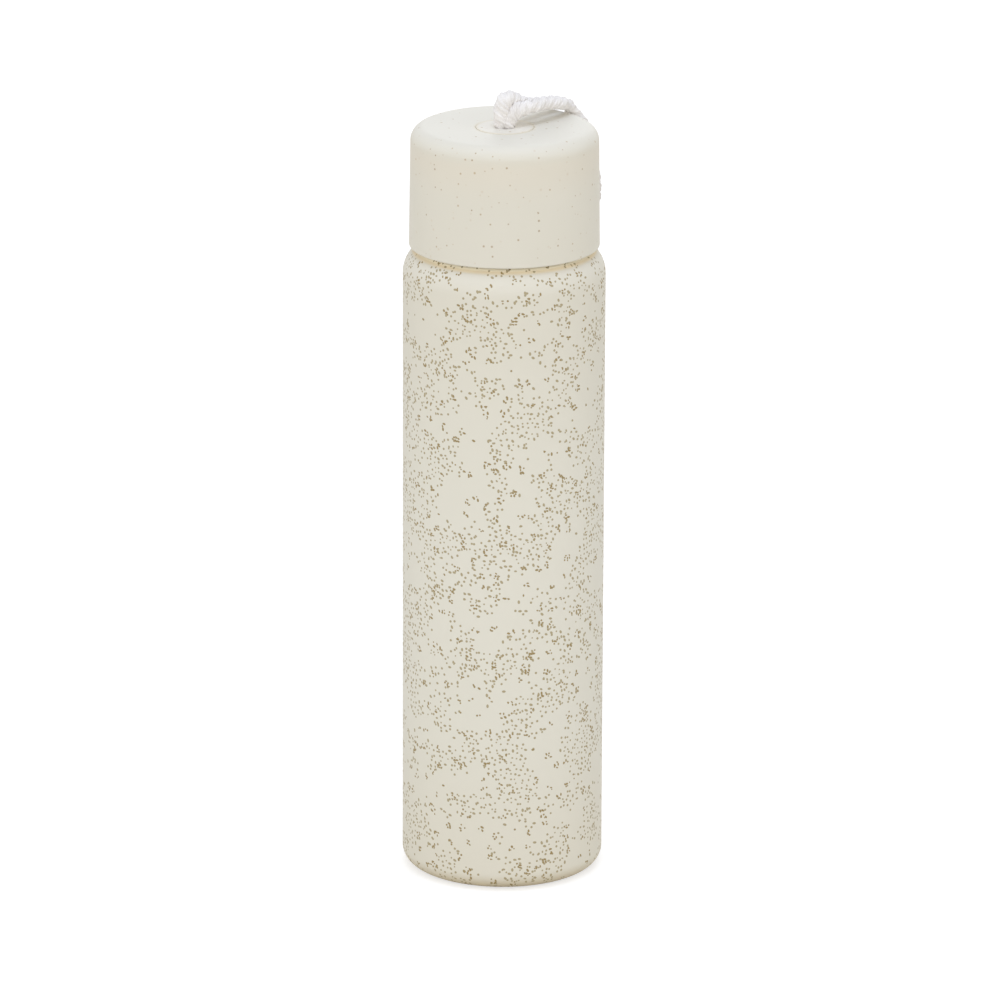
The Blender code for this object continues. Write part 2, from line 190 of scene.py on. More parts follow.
# The rope's route, as the solid has it: up out of the hole, across the top, over the rim at
# the back right, down the side, round the bight and back to the hole.
ROPE_ROUTE = (
    (0.0021, 0.0000, 0.2427), (0.0021, 0.0000, 0.2454), (0.0022, 0.0000, 0.2480),
    (0.0029, 0.0002, 0.2504), (0.0053, 0.0011, 0.2520), (0.0090, 0.0038, 0.2526),
    (0.0132, 0.0078, 0.2525), (0.0175, 0.0123, 0.2515), (0.0210, 0.0165, 0.2499),
    (0.0236, 0.0196, 0.2473), (0.0252, 0.0210, 0.2435), (0.0260, 0.0204, 0.2390),
    (0.0271, 0.0184, 0.2346), (0.0283, 0.0164, 0.2298), (0.0291, 0.0149, 0.2244),
    (0.0288, 0.0155, 0.2184), (0.0270, 0.0186, 0.2138), (0.0239, 0.0225, 0.2119),
    (0.0205, 0.0256, 0.2138), (0.0187, 0.0270, 0.2188), (0.0182, 0.0275, 0.2252),
    (0.0186, 0.0277, 0.2318), (0.0196, 0.0281, 0.2380), (0.0210, 0.0282, 0.2430),
    (0.0209, 0.0264, 0.2470), (0.0184, 0.0228, 0.2493), (0.0149, 0.0188, 0.2505),
    (0.0112, 0.0146, 0.2512), (0.0083, 0.0109, 0.2519), (0.0059, 0.0076, 0.2531),
    (0.0039, 0.0046, 0.2549), (0.0014, 0.0018, 0.2560), (-0.0011, 0.0005, 0.2547),
    (-0.0018, 0.0001, 0.2516), (-0.0020, 0.0000, 0.2488), (-0.0021, 0.0000, 0.2460),
    (-0.0021, 0.0000, 0.2427),
)

# The knot's wraps, inside the cap.
KNOT_WRAP_RADIUS = 0.0040
KNOT_TURNS = 2.5
KNOT_WAVES = 1.5
KNOT_SWELL = 0.15
KNOT_SAMPLES = 48

# Specks: the middle of noise and chance, how far a printed mark may lie from its cell's
# middle, which way it leans, how its size and its edge vary, how ragged a patch is, and how
# many radii keep it off the seam.
NOISE_MIDDLE = 0.5
MARK_SPREAD = 0.9
MARK_LEAN = (math.pi * 0.5, math.pi)
MARK_SIZES = (0.75, 1.2)
MARK_EDGE = (1.15, 0.8)
PATCH_RAGGED = 0.16
SEAM_MARGIN = 2.0
MOULDED_SIZES = (0.7, 1.15)
DEEP_SPECK_SHIFT = (0.031, 0.017, 0.023)

# How much of what lies under them the inks and specks cover, and how the fine grain and the
# fibres show.
INK_COVER = 0.9
NEAR_COVER = 0.62
DEEP_COVER = 0.22
GRAIN_LOW = 0.2
GRAIN_HIGH = 0.8
ROUGHNESS_DRIFT = 0.1
COAT_RELIEF = 0.3
COTTON_RELIEF = 0.6
COTTON_TONES = (0.3, 0.7)
FIBRES_PER_METRE = 2200.0

# Studio.
WORLD_LIGHT = (0.70, 0.69, 0.675, 1.0)
FLOOR_LIGHT = (0.66, 0.63, 0.55, 1.0)
FLOOR_SHOWN = (0.5, 0.5, 0.5, 1.0)
FLOOR_GLOW = 0.6
FLOOR_REACH = 4
LAMP_AIM = (0, 0, 0.12)
DAYLIGHT = (0.98, 0.99, 1.0)
SKYLIGHT = (0.62, 0.75, 1.0)
# Name, place, diameter, power in watts, colour.
LAMPS = (
    ("key_front", (-0.7, -2.2, 0.8), 1.2, 14, DAYLIGHT),
    ("fill_left", (-2.1, -0.5, 0.7), 1.2, 2.8, DAYLIGHT),
    ("fill_right", (2.1, -0.7, 0.7), 1.2, 7, DAYLIGHT),
    ("fill_back", (0.3, 2.2, 0.9), 1.4, 6, DAYLIGHT),
    ("top_soft", (0.0, -0.1, 1.9), 1.2, 10, SKYLIGHT),
)

# How finely curves are drawn, and how the meshes are shaded and merged.
BODY_SIDES = 192
SMALL_SIDES = 96
ARC_STEP = math.radians(6)
SMOOTH_ANGLE = math.radians(35)
CURVE_SAMPLES = 16
EASE = 0.0005
MERGE_DISTANCE = 1e-7


# Meshes and pieces.


def add_object(name, data, material=None):
    piece = bpy.data.objects.new(name, data)
    bpy.context.scene.collection.objects.link(piece)
    if material:
        data.materials.append(material)
    return piece


def arc(centre, radius, start_deg, end_deg):
    """Points on a round stretch of an outline, both ends included."""
    steps = max(2, math.ceil(abs(math.radians(end_deg - start_deg)) / ARC_STEP))
    points = []
    for i in range(steps + 1):
        angle = math.radians(start_deg + (end_deg - start_deg) * i / steps)
        points.append((centre[0] + radius * math.cos(angle), centre[1] + radius * math.sin(angle)))
    return points


def straight(start, end, ease=EASE):
    """Points inside a straight stretch, a small way in from each end.

    They keep the shading of the rounds on either side from spreading along it.
    """
    run = math.dist(start, end)
    shares = (ease / run, 1 / 2, 1 - ease / run)
    return [tuple(a + (b - a) * share for a, b in zip(start, end)) for share in shares]


def turned_piece(name, outline, material, sides=BODY_SIDES, closed=True):
    """An outline of (radius, height) points turned about Z, with its surface unrolled as a map.

    The map is in metres: the distance round the body, and the distance along the outline. Its
    seam is at the back. An open outline starts and ends on the axis.
    """
    line = list(outline)
    if closed:
        line.append(line[0])
    along = [0]
    for here, there in zip(line, line[1:]):
        along.append(along[-1] + math.dist(here, there))
    bm = bmesh.new()
    unrolled = bm.loops.layers.uv.new("unrolled")
    rings = []
    for radius, height in outline:
        if radius == 0:
            rings.append([bm.verts.new((0, 0, height))] * sides)
            continue
        ring = []
        for k in range(sides):
            angle = math.pi / 2 + math.tau * k / sides
            place = (radius * math.cos(angle), radius * math.sin(angle), height)
            ring.append(bm.verts.new(place))
        rings.append(ring)
    if closed:
        rings.append(rings[0])
    for i in range(len(rings) - 1):
        for k in range(sides):
            corners = []
            for row, turn in ((i, k), (i, k + 1), (i + 1, k + 1), (i + 1, k)):
                vert = rings[row][turn % sides]
                if all(vert is not seen for seen, _ in corners):
                    corners.append((vert, (math.tau * BODY_RADIUS * turn / sides, along[row])))
            face = bm.faces.new([vert for vert, _ in corners])
            for loop, (_, map_place) in zip(face.loops, corners):
                loop[unrolled].uv = map_place
    bmesh.ops.recalc_face_normals(bm, faces=bm.faces)
    mesh = bpy.data.meshes.new(name)
    bm.to_mesh(mesh)
    bm.free()
    return add_object(name, shaded(mesh), material)


def shaded(mesh):
    """The mesh shaded smooth, apart from its sharp edges."""
    mesh.shade_smooth()
    mesh.set_sharp_from_angle(angle=SMOOTH_ANGLE)
    return mesh


def plain_mesh(source, name):
    """The mesh that an object's modifiers make, and the object gone."""
    graph = bpy.context.evaluated_depsgraph_get()
    mesh = bpy.data.meshes.new_from_object(source.evaluated_get(graph))
    mesh.name = name
    bpy.data.objects.remove(source, do_unlink=True)
    return mesh


def smooth_line(points):
    """A centripetal Catmull-Rom curve through the points, finely sampled."""
    points = [Vector(p) for p in points]
    padded = [2 * points[0] - points[1], *points, 2 * points[-1] - points[-2]]
    line = []
    for p0, p1, p2, p3 in zip(padded, padded[1:], padded[2:], padded[3:]):
        t0 = 0
        t1 = t0 + math.sqrt((p1 - p0).length)
        t2 = t1 + math.sqrt((p2 - p1).length)
        t3 = t2 + math.sqrt((p3 - p2).length)
        for i in range(CURVE_SAMPLES):
            t = t1 + (t2 - t1) * i / CURVE_SAMPLES
            a1 = p0.lerp(p1, (t - t0) / (t1 - t0))
            a2 = p1.lerp(p2, (t - t1) / (t2 - t1))
            a3 = p2.lerp(p3, (t - t2) / (t3 - t2))
            b1 = a1.lerp(a2, (t - t0) / (t2 - t0))
            b2 = a2.lerp(a3, (t - t1) / (t3 - t1))
            line.append(b1.lerp(b2, (t - t1) / (t2 - t1)))
    line.append(points[-1])
    return line


# Node trees.


def feed(tree, socket, value):
    """Link a socket to another's output, or give it a value."""
    if isinstance(value, bpy.types.NodeSocket):
        tree.links.new(value, socket)
    else:
        socket.default_value = value


def add_node(tree, kind, *in_order, **values):
    """Add a node and give its outputs.

    Its inputs are given in order, or by name with "_" for a space. A name that starts with a
    small letter is a setting of the node.
    """
    node = tree.nodes.new(kind)
    for name, value in values.items():
        if name[0].islower():
            setattr(node, name, value)
    named = {name.replace("_", " "): value for name, value in values.items() if name[0].isupper()}
    for key, value in [*enumerate(in_order), *named.items()]:
        feed(tree, node.inputs[key], value)
    return node.outputs


def calc(tree, operation, *values):
    return add_node(tree, "ShaderNodeMath", *values, operation=operation)[0]


def product(tree, first, *others):
    for value in others:
        first = calc(tree, "MULTIPLY", first, value)
    return first


def one_minus(tree, value):
    return calc(tree, "SUBTRACT", 1.0, value)


def one_over(tree, value):
    return calc(tree, "DIVIDE", 1.0, value)


def vector_calc(tree, operation, *values):
    return add_node(tree, "ShaderNodeVectorMath", *values, operation=operation)["Vector"]


def scaled(tree, vector, factor):
    kind = "ShaderNodeVectorMath"
    return add_node(tree, kind, Vector=vector, Scale=factor, operation="SCALE")["Vector"]


def length_of(tree, vector):
    return add_node(tree, "ShaderNodeVectorMath", vector, operation="LENGTH")["Value"]


def combined(tree, **parts):
    return add_node(tree, "ShaderNodeCombineXYZ", **parts)["Vector"]


def part_of(tree, vector, axis):
    return add_node(tree, "ShaderNodeSeparateXYZ", vector)[axis]


def ramp(tree, value, low, high, from_zero=0.0, to_one=1.0):
    """The value's place between low and high, eased and clamped, from one number to another."""
    inputs = (value, low, high, from_zero, to_one)
    return add_node(tree, "ShaderNodeMapRange", *inputs, interpolation_type="SMOOTHSTEP")["Result"]


def mixed(tree, factor, first, second):
    node = tree.nodes.new("ShaderNodeMix")
    node.data_type = "RGBA"
    feed(tree, node.inputs["Factor"], factor)
    colour_sockets = [socket for socket in node.inputs if socket.type == "RGBA"]
    for socket, colour in zip(colour_sockets, (first, second)):
        feed(tree, socket, colour)
    return next(socket for socket in node.outputs if socket.type == "RGBA")


def noise(tree, vector, scale, dimensions="3D", **values):
    values = {"Vector": vector, "Scale": scale, "noise_dimensions": dimensions, **values}
    return add_node(tree, "ShaderNodeTexNoise", **values)["Fac"]


def open_tree(name, kind, inputs, outputs):
    """A new node group, the values it is given and the sockets of its results.

    Inputs and outputs are the sockets' names, listed under their kind.
    """
    tree = bpy.data.node_groups.new(name, kind + "NodeTree")
    for in_out, listed in (("INPUT", inputs), ("OUTPUT", outputs)):
        for socket_kind, names in listed.items():
            for socket_name in names.split(", "):
                socket_type = "NodeSocket" + socket_kind
                tree.interface.new_socket(socket_name, in_out=in_out, socket_type=socket_type)
    given = tree.nodes.new("NodeGroupInput").outputs
    return tree, given, tree.nodes.new("NodeGroupOutput").inputs


def run_tree(source, tree, values):
    """Give an object a Geometry Nodes modifier with these values for its named inputs."""
    modifier = source.modifiers.new(tree.name, "NODES")
    modifier.node_group = tree
    for item in tree.interface.items_tree:
        if item.item_type == "SOCKET" and item.in_out == "INPUT" and item.name in values:
            modifier[item.identifier] = values[item.name]


# Geometry: a screw thread's ridge, and a laid rope.


def ridge_tree():
    """A helical ridge with a rounded crest that stands on a wall and sinks into it at its ends.

    Side is 1 for a ridge that stands outwards and -1 for one that stands inwards.
    """
    inputs = {
        "Geometry": "Geometry",
        "Float": "Turns, Lead, Root Radius, Side, Height, Root Width, Crest Width, Round, Start",
        "Material": "Surface",
    }
    tree, given, result = open_tree("screw_ridge", "Geometry", inputs, {"Geometry": "Geometry"})
    helix = add_node(
        tree,
        "GeometryNodeCurveSpiral",
        Resolution=BODY_SIDES,
        Rotations=given["Turns"],
        Start_Radius=given["Root Radius"],
        End_Radius=given["Root Radius"],
        Height=product(tree, given["Turns"], given["Lead"]),
    )
    moved = add_node(
        tree,
        "GeometryNodeTransform",
        Geometry=helix["Curve"],
        Translation=combined(tree, Z=given["Start"]),
    )
    upright = add_node(tree, "GeometryNodeSetCurveNormal", Curve=moved["Geometry"], mode="Z_UP")
    section = add_node(
        tree,
        "GeometryNodeCurvePrimitiveQuadrilateral",
        Height=given["Height"],
        Bottom_Width=given["Root Width"],
        Top_Width=given["Crest Width"],
        Offset=0.0,
        mode="TRAPEZOID",
    )
    rounded = add_node(
        tree,
        "GeometryNodeFilletCurve",
        Curve=section["Curve"],
        Count=THREAD_ROUND_POINTS,
        Radius=given["Round"],
        Limit_Radius=True,
        mode="POLY",
    )
    # The section's own X points to the helix's axis. Its foot goes to the helix, and its
    # height points away from the wall.
    half = product(tree, calc(tree, "DIVIDE", given["Height"], -2.0), given["Side"])
    stood = add_node(
        tree,
        "GeometryNodeTransform",
        Geometry=rounded["Curve"],
        Translation=combined(tree, X=half),
        Rotation=combined(tree, Z=product(tree, given["Side"], math.pi / 2)),
    )
    # The ridge shrinks into the wall over its last stretch at each end.
    share = add_node(tree, "GeometryNodeSplineParameter")["Factor"]
    end_share = calc(tree, "DIVIDE", THREAD_END_TURNS, given["Turns"])
    from_end = calc(tree, "MINIMUM", share, one_minus(tree, share))
    swept = add_node(
        tree,
        "GeometryNodeCurveToMesh",
        Curve=upright["Curve"],
        Profile_Curve=stood["Geometry"],
        Scale=ramp(tree, from_end, 0.0, end_share, THREAD_END_SCALE, 1.0),
        Fill_Caps=True,
    )
    finish_tree(tree, swept["Mesh"], given["Surface"], result)
    return tree


def finish_tree(tree, mesh, surface, result):
    """Every geometry tree ends in Realize Instances and Set Material."""
    real = add_node(tree, "GeometryNodeRealizeInstances", Geometry=mesh)
    coated = add_node(tree, "GeometryNodeSetMaterial", Geometry=real["Geometry"], Material=surface)
    feed(tree, result["Geometry"], coated["Geometry"])


def moved_by(tree, geometry, offset):
    kind = "GeometryNodeSetPosition"
    return add_node(tree, kind, Geometry=geometry, Offset=offset)["Geometry"]


def twisted_copies(tree, curve, count, offset, lay):
    """Copies of a curve, laid round it to the left at an even offset."""
    copies = add_node(
        tree, "GeometryNodeDuplicateElements", Geometry=curve, Amount=count, domain="SPLINE"
    )
    along = add_node(tree, "GeometryNodeSplineParameter")["Length"]
    first_turn = calc(tree, "DIVIDE", copies["Duplicate Index"], count)
    turns = calc(tree, "SUBTRACT", first_turn, calc(tree, "DIVIDE", along, lay))
    angle = product(tree, turns, math.tau)
    normal = add_node(tree, "GeometryNodeInputNormal")["Normal"]
    tangent = add_node(tree, "GeometryNodeInputTangent")["Tangent"]
    across = vector_calc(tree, "CROSS_PRODUCT", tangent, normal)
    away = vector_calc(
        tree,
        "ADD",
        scaled(tree, normal, product(tree, offset, calc(tree, "COSINE", angle))),
        scaled(tree, across, product(tree, offset, calc(tree, "SINE", angle))),
    )
    return moved_by(tree, copies["Geometry"], away)


def rope_tree():
    """A rope laid along a curve: plies round the curve, each a twisted tube with lobed sides.

    A ply has one lobe for each of its yarns, and noise roughens the surface a little. The
    radius of the curve's points is the rope's girth there, 1 being its plain one.
    """
    inputs = {
        "Geometry": "Geometry",
        "Float": "Sample Length, Ply Offset, Ply Radius, Ply Lay, Yarn Lay, Yarn Depth, Fluff, "
        "Fluff Size",
        "Int": "Ply Count, Yarn Count, Yarn Points",
        "Material": "Surface",
    }
    tree, given, result = open_tree("laid_rope", "Geometry", inputs, {"Geometry": "Geometry"})
    sampled = add_node(
        tree,
        "GeometryNodeResampleCurve",
        Curve=given["Geometry"],
        Length=given["Sample Length"],
        mode="LENGTH",
    )
    level = add_node(
        tree, "GeometryNodeSetCurveNormal", Curve=sampled["Curve"], mode="MINIMUM_TWIST"
    )
    girth = add_node(tree, "GeometryNodeInputRadius")["Radius"]
    plies = twisted_copies(
        tree,
        level["Curve"],
        given["Ply Count"],
        product(tree, given["Ply Offset"], girth),
        given["Ply Lay"],
    )
    along = add_node(tree, "GeometryNodeSplineParameter")["Length"]
    twist = product(tree, calc(tree, "DIVIDE", along, given["Yarn Lay"]), -math.tau)
    twisted = add_node(tree, "GeometryNodeSetCurveTilt", Curve=plies, Tilt=twist)
    circle = add_node(
        tree,
        "GeometryNodeCurvePrimitiveCircle",
        Resolution=product(tree, given["Yarn Count"], given["Yarn Points"]),
        Radius=given["Ply Radius"],
    )
    # Between two lobes the section is drawn in by the yarn depth.
    share = add_node(tree, "GeometryNodeSplineParameter")["Factor"]
    half_turns = product(tree, share, given["Yarn Count"], math.pi)
    drawn_in = one_minus(tree, calc(tree, "ABSOLUTE", calc(tree, "COSINE", half_turns)))
    place = add_node(tree, "GeometryNodeInputPosition")["Position"]
    inwards = scaled(tree, place, product(tree, drawn_in, given["Yarn Depth"], -1.0))
    swept = add_node(
        tree,
        "GeometryNodeCurveToMesh",
        Curve=twisted["Curve"],
        Profile_Curve=moved_by(tree, circle["Curve"], inwards),
        Scale=girth,
        Fill_Caps=True,
    )
    rough = noise(tree, place, one_over(tree, given["Fluff Size"]), Detail=1.0)
    rise = product(tree, calc(tree, "SUBTRACT", rough, NOISE_MIDDLE), given["Fluff"])
    normal = add_node(tree, "GeometryNodeInputNormal")["Normal"]
    fluffed = moved_by(tree, swept["Mesh"], scaled(tree, normal, rise))
    smooth = add_node(tree, "GeometryNodeSetShadeSmooth", Geometry=fluffed)
    finish_tree(tree, smooth["Geometry"], given["Surface"], result)
    return tree


# Shader groups.


def cell_pattern(tree, vector, scale, randomness=1.0, dimensions="2D"):
    """Random cells, each with its own place and chance."""
    return add_node(
        tree,
        "ShaderNodeTexVoronoi",
        Vector=vector,
        Scale=scale,
        Randomness=randomness,
        voronoi_dimensions=dimensions,
        feature="F1",
    )


def print_specks_group():
    """Printed dots and short dashes, in patches and clumps, on a flat map in metres.

    Each cell of a cell pattern has at most one mark. Whether it has one depends on noise at
    the mark's own middle, so that no mark is cut. None lies across the map's seam.
    """
    inputs = {
        "Vector": "Vector",
        "Float": "Spacing, Radius, Dash Share, Squeeze, Patch Size, Cover, Clump Spacing, "
        "Clump Radius, Seed, Wrap",
    }
    tree, given, result = open_tree("print_specks", "Shader", inputs, {"Float": "Mask"})
    shift = combined(tree, X=given["Seed"], Y=given["Seed"])
    in_cells = scaled(tree, given["Vector"], one_over(tree, given["Spacing"]))
    place = vector_calc(tree, "ADD", in_cells, shift)
    cells = cell_pattern(tree, place, scale=1.0, randomness=MARK_SPREAD)
    chance = add_node(tree, "ShaderNodeSeparateColor", cells["Color"])
    # Each mark leans its own way, between upright and level.
    turned = add_node(
        tree,
        "ShaderNodeVectorRotate",
        Vector=vector_calc(tree, "SUBTRACT", place, cells["Position"]),
        Angle=ramp(tree, chance["Red"], 0.0, 1.0, *MARK_LEAN),
        rotation_type="Z_AXIS",
    )
    # A dash is a dot stretched one way.
    is_dash = calc(tree, "LESS_THAN", chance["Green"], given["Dash Share"])
    squeeze = one_minus(tree, product(tree, is_dash, one_minus(tree, given["Squeeze"])))
    stretch = combined(tree, X=1.0, Y=squeeze, Z=0.0)
    local = vector_calc(tree, "MULTIPLY", turned["Vector"], stretch)
    distance = product(tree, length_of(tree, local), given["Spacing"])
    size_share = ramp(tree, chance["Blue"], 0.0, 1.0, *MARK_SIZES)
    radius = product(tree, given["Radius"], size_share)
    mark = ramp(tree, distance, *(product(tree, radius, share) for share in MARK_EDGE))
    # What follows is read at the middle of the mark, back in metres.
    middle = scaled(tree, vector_calc(tree, "SUBTRACT", cells["Position"], shift), given["Spacing"])
    shifted = vector_calc(tree, "ADD", middle, shift)
    per_patch = one_over(tree, given["Patch Size"])
    patches = noise(tree, shifted, per_patch, "2D", Detail=2.0, Roughness=0.6)
    either_way = calc(tree, "SUBTRACT", chance["Blue"], NOISE_MIDDLE)
    raggedness = product(tree, either_way, PATCH_RAGGED)
    ragged = calc(tree, "ADD", patches, raggedness)
    in_patch = calc(tree, "GREATER_THAN", ragged, one_minus(tree, given["Cover"]))
    clumps = cell_pattern(tree, shifted, one_over(tree, given["Clump Spacing"]))
    from_clump = product(tree, clumps["Distance"], given["Clump Spacing"])
    in_clump = calc(tree, "LESS_THAN", from_clump, given["Clump Radius"])
    across = part_of(tree, middle, "X")
    from_seam = calc(tree, "MINIMUM", across, calc(tree, "SUBTRACT", given["Wrap"], across))
    off_seam = calc(tree, "GREATER_THAN", from_seam, product(tree, given["Radius"], SEAM_MARGIN))
    feed(tree, result["Mask"], product(tree, mark, in_patch, in_clump, off_seam))
    return tree


def moulded_specks_group():
    """Specks that are mixed into a plastic, at an even spacing in all three directions."""
    inputs = {"Vector": "Vector", "Float": "Spacing, Radius, Blur Share, Keep Share"}
    tree, given, result = open_tree("moulded_specks", "Shader", inputs, {"Float": "Mask, Tone"})
    per_metre = one_over(tree, given["Spacing"])
    cells = cell_pattern(tree, given["Vector"], per_metre, dimensions="3D")
    chance = add_node(tree, "ShaderNodeSeparateColor", cells["Color"])
    distance = product(tree, cells["Distance"], given["Spacing"])
    size_share = ramp(tree, chance["Blue"], 0.0, 1.0, *MOULDED_SIZES)
    radius = product(tree, given["Radius"], size_share)
    sharp_radius = product(tree, radius, one_minus(tree, given["Blur Share"]))
    speck = ramp(tree, distance, radius, sharp_radius)
    kept = calc(tree, "LESS_THAN", chance["Red"], given["Keep Share"])
    feed(tree, result["Mask"], product(tree, speck, kept))
    feed(tree, result["Tone"], chance["Green"])
    return tree


def fine_grain_group():
    """A fine even grain for a bump, and a slow drift of tone."""
    inputs = {"Vector": "Vector", "Float": "Grain Size, Drift Size"}
    tree, given, result = open_tree("fine_grain", "Shader", inputs, {"Float": "Height, Drift"})
    grain = noise(tree, given["Vector"], one_over(tree, given["Grain Size"]), Detail=3.0)
    drift = noise(tree, given["Vector"], one_over(tree, given["Drift Size"]), Detail=1.0)
    feed(tree, result["Height"], grain)
    feed(tree, result["Drift"], drift)
    return tree


# Materials.


def linear(red, green, blue):
    """A colour as an image shows it, from 0 to 255, as the shader's linear values."""
    shares = []
    for level in (red, green, blue):
        share = level / 255
        shares.append(share / 12.92 if share <= 0.04045 else ((share + 0.055) / 1.055) ** 2.4)
    return (*shares, 1.0)


COAT_CREAM = (linear(224, 221, 210), linear(227, 224, 214))
COAT_HIGH = linear(222, 218, 206)
# Painted warm shade for the foot, where the floor's contact shadow falls.
COAT_FOOT_SHADE = linear(204, 186, 150)
# Painted golden light for the shade under the cap's edge.
COAT_UNDER_CAP_LIGHT = (linear(233, 218, 188), linear(255, 246, 222))
INK = linear(166, 152, 117)
CLUMP_INK = linear(144, 121, 64)
SIDE_CREAM = (linear(220, 216, 204), linear(223, 219, 208))
DISC_CREAM = (linear(224, 219, 208), linear(227, 222, 211))
# Painted warm shade just below the cap's rim.
CAP_RIM_SHADE = linear(223, 217, 204)
# Painted shade for the groove round the button.
SEAM_SHADE = linear(216, 202, 170)
DEEP_SPECK = linear(190, 160, 118)
NEAR_SPECK = (linear(150, 118, 68), linear(182, 154, 106))
LINER_WHITE = (linear(226, 222, 210), linear(231, 227, 217))
SILICONE_WHITE = (linear(222, 222, 219), linear(229, 229, 226))
GLASS_TINT = (linear(246, 251, 249), linear(250, 253, 252))
COTTON = (linear(222, 217, 213), linear(240, 237, 235))
BLACK = (0.0, 0.0, 0.0, 1.0)
WHITE = (1.0, 1.0, 1.0, 1.0)

PRINT_SPECKS = print_specks_group()
MOULDED_SPECKS = moulded_specks_group()
FINE_GRAIN = fine_grain_group()


def open_material(name, **values):
    """A material, its tree and its Principled shader with these values set on its sockets."""
    material = bpy.data.materials.new(name)
    material.use_nodes = True
    tree = material.node_tree
    shader = tree.nodes["Principled BSDF"]
    for key, value in values.items():
        shader.inputs[key.replace("_", " ")].default_value = value
    return material, tree, shader


def use_group(tree, group, **values):
    return add_node(tree, "ShaderNodeGroup", node_tree=group, **values)


def place_and_grain(tree, grain_size, drift_size):
    """Object coordinates, and the fine grain there."""
    place = add_node(tree, "ShaderNodeTexCoord")["Object"]
    values = {"Vector": place, "Grain_Size": grain_size, "Drift_Size": drift_size}
    return place, use_group(tree, FINE_GRAIN, **values)


def add_roughness(tree, shader, grain, smoothest, roughest):
    """Let the roughness follow the fine grain, between two values."""
    rough = ramp(tree, grain["Height"], GRAIN_LOW, GRAIN_HIGH, smoothest, roughest)
    feed(tree, shader.inputs["Roughness"], rough)


def add_bump(tree, shader, height, distance, strength):
    values = {"Height": height, "Distance": distance, "Strength": strength}
    feed(tree, shader.inputs["Normal"], add_node(tree, "ShaderNodeBump", **values)["Normal"])


def coat_material():
    """Matte cream coat, printed with golden-brown specks.

    Its inner side, seen through the neck, has no print and a faint emission, painted light that
    stands in for daylight coming through the thin coat.
    """
    material, tree, shader = open_material(
        "speckled_coat", Roughness=0.6, Specular_IOR_Level=0.25, Emission_Strength=INNER_PAINTED_LIGHT
    )
    unrolled = add_node(tree, "ShaderNodeUVMap", uv_map="unrolled")["UV"]
    outside = coat_line(0)
    outside_length = sum(math.dist(here, there) for here, there in zip(outside, outside[1:]))
    inner = calc(tree, "GREATER_THAN", part_of(tree, unrolled, "Y"), outside_length)
    printing = {"Vector": unrolled, "Wrap": math.tau * BODY_RADIUS}
    dots = use_group(
        tree,
        PRINT_SPECKS,
        **printing,
        Spacing=0.00168,
        Radius=0.000345,
        Dash_Share=0.35,
        Squeeze=0.65,
        Patch_Size=0.014,
        Cover=0.50,
        Clump_Spacing=1.0,
        Clump_Radius=1.0,
        Seed=0.0,
    )
    clumps = use_group(
        tree,
        PRINT_SPECKS,
        **printing,
        Spacing=0.00105,
        Radius=0.00030,
        Dash_Share=0.5,
        Squeeze=0.55,
        Patch_Size=0.020,
        Cover=0.60,
        Clump_Spacing=0.0062,
        Clump_Radius=0.00118,
        Seed=7.3,
    )
    place, grain = place_and_grain(tree, grain_size=0.00035, drift_size=0.05)
    marks = calc(tree, "MAXIMUM", dots["Mask"], clumps["Mask"])
    ink = product(tree, marks, one_minus(tree, inner))
    body_cream = mixed(tree, grain["Drift"], *COAT_CREAM)
    # Painted golden light in the shade where the coat runs in under the cap's edge, and painted
    # warm shade at the foot and more lightly above it.
    height = part_of(tree, place, "Z")
    under_cap_light = mixed(tree, ramp(tree, height, UNDER_CAP_LIGHT_FULL, UNDER_CAP_LIGHT_END), *COAT_UNDER_CAP_LIGHT)
    # Painted warm shade towards the foot, strong at the base and faint up the lower body.
    foot = product(tree, ramp(tree, height, FOOT_SHADE_END, 0.0), FOOT_SHADE)
    low = product(tree, ramp(tree, height, LOW_SHADE_END, 0.0), LOW_SHADE)
    high = ramp(tree, height, HIGH_TONE_START, HIGH_TONE_END)
    high_cream = mixed(tree, high, body_cream, COAT_HIGH)
    foot_shaded_cream = mixed(tree, calc(tree, "ADD", foot, low), high_cream, COAT_FOOT_SHADE)
    cream = mixed(tree, ramp(tree, height, UNDER_CAP_LIGHT_START, UNDER_CAP_LIGHT_FULL), foot_shaded_cream, under_cap_light)
    brown = mixed(tree, clumps["Mask"], INK, CLUMP_INK)
    printed = mixed(tree, product(tree, ink, INK_COVER), cream, brown)
    feed(tree, shader.inputs["Base Color"], printed)
    # The inner side's faint emission is painted light.
    feed(tree, shader.inputs["Emission Color"], mixed(tree, inner, BLACK, body_cream))
    add_roughness(tree, shader, grain, smoothest=0.56, roughest=0.66)
    relief = calc(tree, "ADD", product(tree, grain["Height"], COAT_RELIEF), ink)
    add_bump(tree, shader, relief, distance=0.00002, strength=0.35)
    return material


